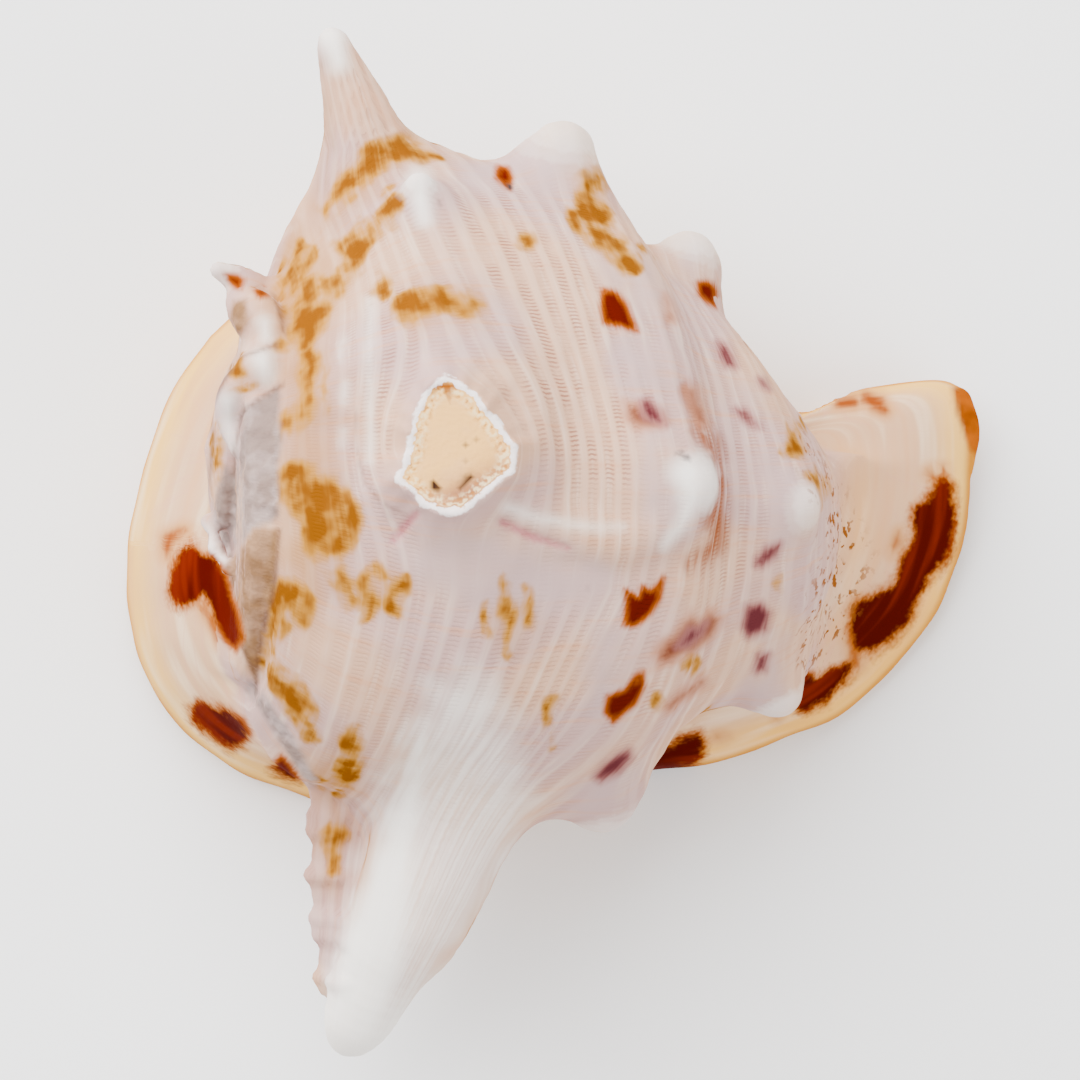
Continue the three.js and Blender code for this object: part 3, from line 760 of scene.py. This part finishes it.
def marked(seen, marks):
    """How deep inside a mark each place is, in pixels over the marks' reach. Negative outside."""
    best = np.full(len(seen), -MARK_REACH)
    for mark in marks:
        corners = np.array([spot[:2] for spot in mark], float)
        reach = 2 * MARK_REACH + 8
        near = ((seen > corners.min(0) - reach) & (seen < corners.max(0) + reach)).all(1)
        if len(mark[0]) == 2:
            depth = -polygon_distance(seen[near], corners)
        else:
            depth = spot_line_depth(seen[near], mark)
        best[near] = np.maximum(best[near], depth)
    return np.clip(best / MARK_REACH, -1, 1)


def soft_mark(seen, marks, name):
    return smoothstep(marked(seen, marks[name]) * MARK_REACH, -SOFTNESS[name], SOFTNESS[name])


def ripple(points, pitch, seed):
    """Smooth unevenness between about -1 and 1, with lumps of about one pitch."""
    rng = np.random.default_rng(seed)
    total = np.zeros(len(points))
    for _ in range(7):
        turn = rng.normal(size=3)
        turn *= rng.uniform(0.6, 1.5) * 2 * math.pi / pitch / np.linalg.norm(turn)
        total += np.sin(points @ turn + rng.uniform(0, 2 * math.pi))
    return total / 3.5


def fanned(points):
    """The points with x moved so that cords which part or run together become straight."""
    x, y, z = points.T
    for side, (distance, middles, halves) in FANS.items():
        middle = np.interp(side * y, distance, middles)
        half = np.interp(side * y, distance, halves)
        from_middle = x - middle
        spread = middles[0] + from_middle / half * halves[0]
        edge = np.sign(from_middle) * (halves[0] - half) + middles[0] - middle
        fade = np.clip(1 - (np.abs(from_middle) - half) / FAN_FADE, 0, 1)
        x = np.where(np.abs(from_middle) <= half, spread, x + edge * fade)
    away_x, away_y = x - STUMP_MIDDLE[0], y - STUMP_MIDDLE[1]
    parting = CORD_PARTING ** 2 / np.maximum(away_x ** 2 + away_y ** 2, 1.05 * CORD_PARTING ** 2)
    x = STUMP_MIDDLE[0] + away_x * (1 - parting * smoothstep(z, 50, 90))
    return np.column_stack([x, y, z])


def cord_places(points):
    """Distance across the cords, distance along them, and place on the profile in rows."""
    along, radius, angle = axis_coordinates(fanned(points))
    off, _ = whorl_field(along, radius, angle)
    _, place = whorl_field(along, radius - 0.9 * np.maximum(off - 2, 0), angle)
    back = (PROFILE @ waves(np.zeros(1)))[:, :, 0]
    lengths = np.linalg.norm(np.diff(back, axis=0), axis=1)
    reached = np.concatenate([[0], np.cumsum(lengths)])
    across = np.interp(place * PARTS_PER_ROW, np.arange(len(PROFILE)), reached)
    across += CORD_UNEVENNESS * np.sin(across / 6.1)
    return across, axis_coordinates(points)[2] * GROWTH_RADIUS, place


def hidden_spots(growth, row, name):
    """Spots in a regular row, in the same measure as the marks."""
    row_name, pitch, half = HIDDEN_SPOTS[name]
    pixel = CAMERA["pixel"] * MARK_REACH
    rows_to_mm = 25.0
    beside = half * 1.2 - np.abs(row - ROW[row_name]) * rows_to_mm
    ahead = half - np.abs((growth + pitch / 3) % pitch - pitch / 2)
    return np.clip(np.minimum(beside, ahead) / pixel, -1, 1)


def soft_marks(points, places, outer, slab):
    """The marks that fade at their edges, each from 0 to 1."""
    seen, up = seen_place(points), places["up"]
    drift = np.column_stack([ripple(points, 11, 11), ripple(points, 11, 12)])
    found = {}
    for name in ("ochre", "white", "lavender_shade", "warm", "pink", "grey", "tan", "crease_shadow", "umber_shade", "dark",
                 "netted", "milky", "band"):
        found[name] = soft_mark(seen + DRIFT.get(name, 0) * drift, BODY_MARKS, name) * up * outer
    for name, shown in (("amber", slab), ("glow", slab * up), ("speckled", up * (1 - places["inner"]))):
        found[name] = soft_mark(seen, SHIELD_MARKS, name) * shown
    for name in STUMP_MARKS:
        found[name] = soft_mark(seen, STUMP_MARKS, name) * places["stump"]
    for name, horn, reached, _ in horn_fields(points):
        if name not in NO_WHITE_TIP:
            start, strength = WHITE_TIPS.get(name, (0.6, 0.5))
            tip = strength * smoothstep(reached, start, start + 0.3) * smoothstep(horn, 3.0, 0.0)
            found["white"] = np.maximum(found["white"], tip * outer)
    clouds = (1 - up) * outer * smoothstep(ripple(points, 26, 6), 0.3, 1.0)
    found["ochre"] = np.maximum(found["ochre"], clouds)
    return found


def edged_marks(points, normals, row, places, outer, slab):
    """The marks with a clear edge: how deep inside one each place is, from -1 to 1."""
    seen, up = seen_place(points), places["up"]
    _, y, z = points.T
    covered = 2 * smoothstep(below_top(points, seen), *MARK_DEPTH) * smoothstep(y, *COVERED_SIDE)
    off_limits = 2 * (smoothstep(np.abs(y), *HORN_SIDES) + smoothstep(z, *SPOTS_LOWEST))
    found = {}
    for name in ("maroon", "purple", "rust"):
        layers = [((outer > 0.1) & (normals[:, 2] > -0.08), marked(seen, BODY_MARKS[name]) - covered)]
        if name in SHIELD_MARKS:
            shown = slab * np.maximum(up, places["inwards"] < 7)
            layers.append((shown > 0.3, marked(seen, SHIELD_MARKS[name])))
        if name in HIDDEN_SPOTS:
            spots = hidden_spots(places["growth"], row, name) - off_limits
            layers.append((outer * (1 - up) > 0.5, spots))
        found[name] = np.full(len(points), -1.0)
        for shown, depth in layers:
            found[name] = np.maximum(found[name], np.where(shown, depth, -1.0))
    return found


def surface_places(points, normals):
    """Every field that the relief and the material need, at each point of the surface."""
    x, y, z = points.T
    across, growth, row = cord_places(points)
    body, _, chamber = outer_field(points)
    shield, inwards = shield_field(points)
    mouth = np.minimum(chamber, aperture_field(points))
    wing = smoothstep(x, 45, 62)
    on_shield = smoothstep((body - shield) / (1.5 + 5 * wing), -1, 1)
    on_shield = np.maximum(on_shield, smoothstep(x, 56, 76))
    inner = smoothstep(mouth, 3.0, 0.4)
    outer, slab = (1 - inner) * (1 - on_shield), (1 - inner) * on_shield
    face = -polygon_distance(points[:, :2], STUMP_FACE)
    crown = smoothstep(z, STUMP_TOP - 2.6, STUMP_TOP - 1.6)
    tooth, toothed = tooth_wave(x, y)
    places = {
        "across": across,
        "growth": growth,
        "inwards": inwards,
        "round": np.arctan2(y, x) * GROWTH_RADIUS,
        "large": ripple(points, 34, 7),
        "up": smoothstep(normals[:, 2], 0.02, 0.3),
        "under": smoothstep(normals[:, 2], 0.0, -0.4) * (1 - inner),
        "shield": on_shield,
        "inner": inner,
        "gaps": near_aperture(x, y) * (toothed - tooth) * smoothstep(z, 12, 6),
        "face": face,
        "crown": crown,
        "stump": crown * smoothstep(face, -STUMP_RIM - 0.9, -STUMP_RIM - 0.2),
    }
    places.update(soft_marks(points, places, outer, slab))
    places.update(edged_marks(points, normals, row, places, outer, slab))
    strength = np.interp(row, *CORD_STRENGTH.T)
    worn = (1 - 0.9 * places["white"]) * (1 - 0.85 * places["lavender_shade"]) * (1 - 0.5 * places["milky"])
    places["ribbed"] = strength * outer * worn * smoothstep(z, STUMP_TOP - 3, STUMP_TOP - 9)
    return places


def relief(points, places):
    """How far the surface stands out from the plain field: cords, growth steps, rim roll and creases."""
    x, y, _ = points.T
    cord = np.cos(2 * math.pi * places["across"] / CORD_PITCH)
    steps = np.sin(places["growth"] / 7.0 + 1.3 * np.sin(places["growth"] / 23.0))
    height = places["ribbed"] * (CORD_HEIGHT * cord + GROWTH_STEP * steps)
    outer = (1 - places["shield"]) * (1 - places["inner"]) * (1 - places["stump"])
    height += outer * (0.16 * ripple(points, 14, 1) + 0.07 * ripple(points, 5, 2) * (1 - places["white"]))
    height -= 0.9 * places["pink"] + 0.4 * places["pits"]
    height += 0.4 * places["grey"] * ripple(points, 3.2, 3) + 0.35 * places["tan"] * ripple(points, 3.4, 4)
    flange = smoothstep(x, -43, -47) * smoothstep(y, -56, -62) * smoothstep(y, -101, -96) * outer
    lumps = 0.9 * np.cos(2 * math.pi * (y + 74) / 11.7 + 0.6 * np.sin(y / 4.0)) + 0.3 * np.sin(y / 0.75)
    height += flange * (lumps + 0.3)
    roll = np.exp(-((places["inwards"] - 4.0) / 3.0) ** 2) * places["up"]
    slab = places["shield"] * (1 - places["inner"]) * (1 - places["under"])
    return height + slab * (0.7 * roll + 0.22 * ripple(points * [1, 1, 0.4], 17, 5))


def new_mesh(name, vertices, faces):
    mesh = bpy.data.meshes.new(name)
    mesh.from_pydata((vertices * MM).tolist(), [], faces.tolist())
    mesh.shade_smooth()
    return mesh


def vertex_arrays(mesh):
    places = np.empty(len(mesh.vertices) * 3)
    normals = np.empty(len(mesh.vertices) * 3)
    mesh.vertices.foreach_get("co", places)
    mesh.vertex_normals.foreach_get("vector", normals)
    return places.reshape(-1, 3) / MM, normals.reshape(-1, 3)


def thinned(mesh, triangles):
    """A copy of the mesh with about that many triangles, fewest where it is flattest."""
    piece = bpy.data.objects.new("thinning", mesh)
    bpy.context.collection.objects.link(piece)
    thin = piece.modifiers.new("thin", "DECIMATE")
    thin.ratio = min(1.0, triangles / (2 * len(mesh.polygons)))
    graph = bpy.context.evaluated_depsgraph_get()
    found = bpy.data.meshes.new_from_object(piece.evaluated_get(graph))
    bpy.data.objects.remove(piece)
    return found


def make_shell():
    values, origin = sampled_field(shell_field, *FIELD_BOX)
    fill_pinches(values)
    vertices, quads = surface_net(values, origin)
    vertices, normals = settled(shell_field, vertices)
    vertices = vertices + normals * relief(vertices, surface_places(vertices, normals))[:, None]
    vertices = np.clip(vertices, *(np.array(corner) / MM for corner in cad_box))
    mesh = thinned(new_mesh("shell_surface", vertices, quads), MESH_TRIANGLES)
    mesh.shade_smooth()
    for name, values in surface_places(*vertex_arrays(mesh)).items():
        mesh.attributes.new(name, "FLOAT", "POINT").data.foreach_set("value", values.astype(np.float32))
    piece = bpy.data.objects.new("helmet_shell", mesh)
    bpy.context.collection.objects.link(piece)
    print("triangles", len(mesh.polygons))
    return piece


def tone(red, green, blue):
    """A screen colour of 0 to 255 as the shader wants it."""
    def linear(value):
        value = value / 255
        return value / 12.92 if value <= 0.04045 else ((value + 0.055) / 1.055) ** 2.4
    return linear(red), linear(green), linear(blue), 1.0


class Paint:
    """Short names for adding shader nodes and joining them."""
    def __init__(self, material):
        self.nodes = material.node_tree.nodes
        self.links = material.node_tree.links

    def put(self, socket, value):
        if isinstance(value, bpy.types.NodeSocket):
            self.links.new(value, socket)
        else:
            socket.default_value = value

    def field(self, name):
        node = self.nodes.new("ShaderNodeAttribute")
        node.attribute_name = name
        return node.outputs["Fac"]

    def math(self, operation, first, second=0.5):
        node = self.nodes.new("ShaderNodeMath")
        node.operation = operation
        self.put(node.inputs[0], first)
        self.put(node.inputs[1], second)
        return node.outputs[0]

    def times(self, *factors):
        found = factors[0]
        for factor in factors[1:]:
            found = self.math("MULTIPLY", found, factor)
        return found

    def add(self, first, second):
        return self.math("ADD", first, second)

    def step(self, value, low, high):
        """0 at low, 1 at high, smooth between. The two may be either way round."""
        node = self.nodes.new("ShaderNodeMapRange")
        node.interpolation_type = "SMOOTHSTEP"
        self.put(node.inputs["Value"], value)
        self.put(node.inputs["From Min"], low)
        self.put(node.inputs["From Max"], high)
        return node.outputs["Result"]

    def vector(self, x, y, z):
        node = self.nodes.new("ShaderNodeCombineXYZ")
        for socket, value in zip(node.inputs, (x, y, z)):
            self.put(socket, value)
        return node.outputs[0]

    def noise(self, vector, scale, detail):
        node = self.nodes.new("ShaderNodeTexNoise")
        self.put(node.inputs["Vector"], vector)
        self.put(node.inputs["Scale"], scale)
        self.put(node.inputs["Detail"], detail)
        return node.outputs[0]

    def mix(self, factor, first, second):
        node = self.nodes.new("ShaderNodeMix")
        node.data_type = "RGBA"
        self.put(node.inputs[0], factor)
        self.put(node.inputs[6], first)
        self.put(node.inputs[7], second)
        return node.outputs[2]

    def mix_value(self, factor, first, second):
        node = self.nodes.new("ShaderNodeMix")
        self.put(node.inputs[0], factor)
        self.put(node.inputs[2], first)
        self.put(node.inputs[3], second)
        return node.outputs[0]

    def wash(self, colour, washes):
        """Lays each wash of (amount, strength, tone) over the colour in turn."""
        for amount, strength, shade in washes:
            colour = self.mix(self.times(amount, strength), colour, shade)
        return colour

    def mark(self, colour, field, blur, ragged, unevenness, edge_tone, deep_tone, depth):
        """Paints a mark whose edge is made ragged by noise and whose tone deepens inwards."""
        grown = self.add(field, MARK_GROWTH)
        edge = self.add(grown, self.times(self.add(unevenness, -0.5), ragged))
        inside = self.mix(self.step(edge, 0.0, depth), edge_tone, deep_tone)
        return self.mix(self.step(edge, -blur, blur), colour, inside)


def body_colour(paint, field, noises, lattice, crest, groove):
    middle, _, streak, growth, comb = noises
    netted = paint.add(0.15, paint.times(field["netted"], 0.65))
    streaked = paint.mix_value(paint.step(streak, 0.3, 0.65), 0.4, 0.9)
    cloud = paint.add(paint.add(paint.times(middle, 2.0), paint.times(streak, 0.8)), -1.28)
    ochre = paint.times(paint.add(field["ochre"], cloud), paint.step(field["ochre"], 0.0, 0.4))
    banded = paint.times(field["band"], paint.step(streak, 0.2, 0.6), paint.step(middle, 0.25, 0.5))
    worn_grey = paint.mix(paint.step(middle, 0.4, 0.65), tone(126, 108, 102), tone(158, 140, 136))
    worn_tan = paint.mix(paint.step(middle, 0.35, 0.65), tone(116, 82, 46), tone(150, 114, 84))
    plain = paint.mix(paint.step(field["large"], -0.6, 0.6), tone(200, 158, 130), tone(184, 150, 144))
    colour = paint.wash(plain, [
        (paint.step(growth, 0.5, 0.75), 0.5, tone(200, 142, 104)),
        (paint.step(streak, 0.5, 0.75), 0.35, tone(228, 202, 182)),
        (field["warm"], 0.75, tone(168, 116, 62)),
        # Painted highlight and shade: cord crests a little lighter and grooves a little darker.
        (paint.times(crest, field["ribbed"]), 0.12, tone(234, 212, 198)),
        (paint.times(groove, field["ribbed"]), 0.12, tone(172, 128, 112)),
        (paint.times(lattice, netted), paint.step(middle, 0.36, 0.62), tone(142, 90, 72)),
        # Painted shade: lavender-grey below and beside the ridges and knobs.
        (field["lavender_shade"], 0.8, tone(180, 152, 150)),
        (field["milky"], streaked, tone(226, 214, 206)),
        (paint.step(ochre, 0.05, 0.9), 0.95, tone(168, 114, 30)),
        (paint.step(ochre, 0.65, 1.2), 0.95, tone(114, 62, 2)),
        # Orange-brown band: partly the shell's own brown, partly painted shade below the ridge.
        (banded, 0.95, tone(134, 68, 34)),
        # Painted shade: brown down the left side of the upper horn and along the flange.
        (paint.times(field["umber_shade"], paint.step(streak, 0.3, 0.7)), 0.8, tone(146, 104, 74)),
        # The shell's own white on horns and knobs, with painted highlight along the top of the ridge from the
        # stump.
        (field["white"], 0.9, tone(244, 238, 230)),
        (field["pink"], 0.8, tone(170, 96, 104)),
        (field["grey"], 0.9, worn_grey),
        (field["tan"], 0.9, worn_tan),
        # Painted shadow in the crevices and folds.
        (field["crease_shadow"], 0.75, tone(92, 62, 46)),
    ])
    colour = paint.mark(colour, field["rust"], 0.34, 0.5, middle, tone(170, 114, 88), tone(98, 44, 24), 0.6)
    colour = paint.mark(colour, field["purple"], 0.24, 0.26, comb, tone(146, 94, 90), tone(84, 36, 40), 0.4)
    colour = paint.mark(colour, field["maroon"], 0.16, 0.2, comb, tone(150, 74, 8), tone(78, 12, 2), 0.36)
    return paint.mix(field["dark"], colour, tone(50, 46, 48))


def shield_colour(paint, field, noises):
    middle, fine, _, growth, _ = noises
    inwards = field["inwards"]
    far_in = paint.step(inwards, 2.0, 13.0)
    bands = paint.vector(paint.times(inwards, 0.22), paint.times(field["round"], 0.035), 8.0)
    rings = paint.noise(bands, 1.0, 2)
    feather = paint.add(paint.times(rings, 0.65), paint.times(middle, 0.35))
    tatter = paint.add(paint.times(feather, 0.6), paint.times(paint.add(middle, fine), 0.2))
    blotch = paint.mix(paint.times(paint.step(rings, 0.45, 0.62), 0.7), tone(66, 6, 1), tone(106, 26, 2))
    amber = paint.mix(paint.step(middle, 0.3, 0.7), tone(164, 80, 0), tone(120, 54, 0))
    under = paint.mix(paint.step(middle, 0.3, 0.7), tone(232, 186, 140), tone(220, 156, 104))
    colour = paint.wash(paint.mix(far_in, tone(232, 180, 90), tone(206, 162, 124)), [
        (paint.step(rings, 0.48, 0.7), 0.5, tone(240, 216, 182)),
        (paint.step(rings, 0.5, 0.3), 0.5, tone(208, 150, 102)),
        (paint.times(paint.step(growth, 0.5, 0.7), far_in), 0.3, tone(206, 150, 128)),
        (field["glow"], 0.5, tone(232, 158, 62)),
        (paint.step(inwards, 3.0, 0.6), 1.0, tone(190, 122, 30)),
    ])
    colour = paint.mark(colour, field["rust"], 0.35, 0.6, feather, tone(196, 138, 84), tone(136, 62, 16), 0.5)
    colour = paint.mark(colour, field["maroon"], 0.26, 1.5, tatter, tone(156, 80, 8), blotch, 0.4)
    return paint.wash(colour, [
        (field["amber"], 1.0, amber),
        (field["under"], far_in, under),
        (field["gaps"], 0.8, tone(116, 52, 22)),
    ])


def face_colour(paint, field, noises):
    middle, fine, _, _, _ = noises
    border = paint.times(paint.step(field["face"], 3.4, 0.8), paint.step(field["face"], 0.1, 0.5))
    edge = paint.add(field["face"], paint.times(paint.add(fine, -0.5), 1.6))
    return paint.wash(paint.mix(field["shade"], tone(234, 178, 102), tone(152, 100, 74)), [
        (paint.step(middle, 0.45, 0.7), 0.4, tone(226, 174, 124)),
        (paint.times(border, paint.step(fine, 0.45, 0.65)), 0.7, tone(244, 220, 170)),
        (paint.times(border, paint.step(fine, 0.44, 0.34)), 0.7, tone(166, 104, 40)),
        (field["crescent"], 1.0, tone(150, 78, 6)),
        (field["pits"], 1.0, tone(46, 26, 20)),
        (paint.step(edge, 0.2, -0.2), 1.0, tone(240, 228, 224)),
    ])


def make_material(names):
    material = bpy.data.materials.new("shell")
    material.use_nodes = True
    paint = Paint(material)
    shader = paint.nodes["Principled BSDF"]
    field = {name: paint.field(name) for name in names}
    across, along = field["across"], field["growth"]
    spot = paint.nodes.new("ShaderNodeTexCoord").outputs["Object"]
    middle, fine = paint.noise(spot, 160, 2), paint.noise(spot, 900, 1)
    streak = paint.noise(paint.vector(paint.times(across, 0.55), paint.times(along, 0.05), 0.0), 1.0, 2)
    growth = paint.noise(paint.vector(paint.times(across, 0.05), paint.times(along, 0.6), 4.0), 1.0, 2)
    comb = paint.noise(paint.vector(paint.times(across, 1.3), paint.times(along, 0.1), 2.0), 1.0, 1)
    noises = middle, fine, streak, growth, comb

    wave = paint.math("COSINE", paint.times(across, 2 * math.pi / CORD_PITCH))
    crest, groove = paint.step(wave, 0.1, 0.9), paint.step(wave, 0.6, -0.5)
    slip = paint.add(paint.times(streak, 6.0), paint.times(middle, 9.0))
    turn = paint.add(paint.times(along, 2 * math.pi / DASH_PITCH), slip)
    dash = paint.step(paint.math("SINE", turn), -0.1, 0.7)
    lattice = paint.times(dash, groove, field["ribbed"])

    body = body_colour(paint, field, noises, lattice, crest, groove)
    deep = paint.mix(paint.step(middle, 0.35, 0.65), tone(206, 140, 96), tone(226, 176, 136))
    coarse = paint.add(paint.times(fine, 0.35), paint.times(paint.noise(spot, 420, 1), 0.65))
    specks = paint.times(paint.step(coarse, 0.54, 0.6), paint.step(middle, 0.38, 0.52))
    chips = paint.add(fine, paint.add(paint.times(middle, 4.0), -2.6))
    broken = paint.step(paint.add(field["face"], chips), -STUMP_RIM - 0.4, -STUMP_RIM + 0.2)
    paint.put(shader.inputs["Base Color"], paint.wash(body, [
        (field["shield"], 1.0, shield_colour(paint, field, noises)),
        (specks, field["speckled"], tone(128, 72, 24)),
        (field["inner"], 1.0, deep),
        (field["crown"], broken, face_colour(paint, field, noises)),
    ]))

    worn = paint.math("MAXIMUM", field["grey"], field["tan"])
    rough = paint.mix_value(field["shield"], ROUGHNESS["whorl"], ROUGHNESS["shield"])
    for amount, name in ((field["white"], "white"), (worn, "worn"), (field["stump"], "break")):
        rough = paint.mix_value(amount, rough, ROUGHNESS[name])
    paint.put(shader.inputs["Roughness"], paint.add(rough, paint.times(paint.add(fine, -0.5), 0.16)))
    shader.inputs["Specular IOR Level"].default_value = SHEEN

    grain = paint.times(fine, paint.mix_value(field["stump"], 0.12, 0.9))
    height = paint.add(paint.add(paint.times(lattice, -0.5), grain), paint.times(worn, fine, 1.2))
    bump = paint.nodes.new("ShaderNodeBump")
    bump.inputs["Strength"].default_value = 0.6
    bump.inputs["Distance"].default_value = BUMP_HEIGHT * MM
    paint.put(bump.inputs["Height"], height)
    paint.put(shader.inputs["Normal"], bump.outputs[0])
    return material


def make_floor():
    bpy.ops.mesh.primitive_plane_add(size=FLOOR_SIZE, location=(0, 0, 0))
    floor = bpy.context.object
    floor.name = "floor"
    material = bpy.data.materials.new("floor")
    material.use_nodes = True
    shader = material.node_tree.nodes["Principled BSDF"]
    shader.inputs["Base Color"].default_value = FLOOR_TONE
    shader.inputs["Roughness"].default_value = FLOOR_ROUGHNESS
    floor.data.materials.append(material)


def add_light(name, place, size, power):
    light = bpy.data.lights.new(name, "AREA")
    light.shape = "DISK"
    light.size = size
    light.energy = power
    lamp = bpy.data.objects.new(name, light)
    bpy.context.collection.objects.link(lamp)
    lamp.location = place
    lamp.rotation_euler = (-lamp.location).to_track_quat("-Z", "Y").to_euler()


def make_lights():
    world = bpy.data.worlds.new("room")
    world.use_nodes = True
    background = world.node_tree.nodes["Background"]
    background.inputs["Color"].default_value = (1, 1, 1, 1)
    background.inputs["Strength"].default_value = 1.0
    bpy.context.scene.world = world
    for name, (place, size, power) in LIGHTS.items():
        add_light(name, place, size, power)


def make_camera():
    view = bpy.data.cameras.new("camera")
    view.sensor_width = SENSOR
    view.lens = SENSOR * CAMERA["height"] / (CAMERA["pixel"] * CAMERA["pixels"])
    camera = bpy.data.objects.new("camera", view)
    camera.location = (CAMERA["x"] * MM, CAMERA["y"] * MM, CAMERA["height"] * MM)
    bpy.context.collection.objects.link(camera)
    bpy.context.scene.camera = camera


make_floor()
make_lights()
make_camera()
shell = make_shell()
names = [attribute.name for attribute in shell.data.attributes if attribute.data_type == "FLOAT"]
shell.data.materials.append(make_material(names))
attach(shell, "root")
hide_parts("shell")
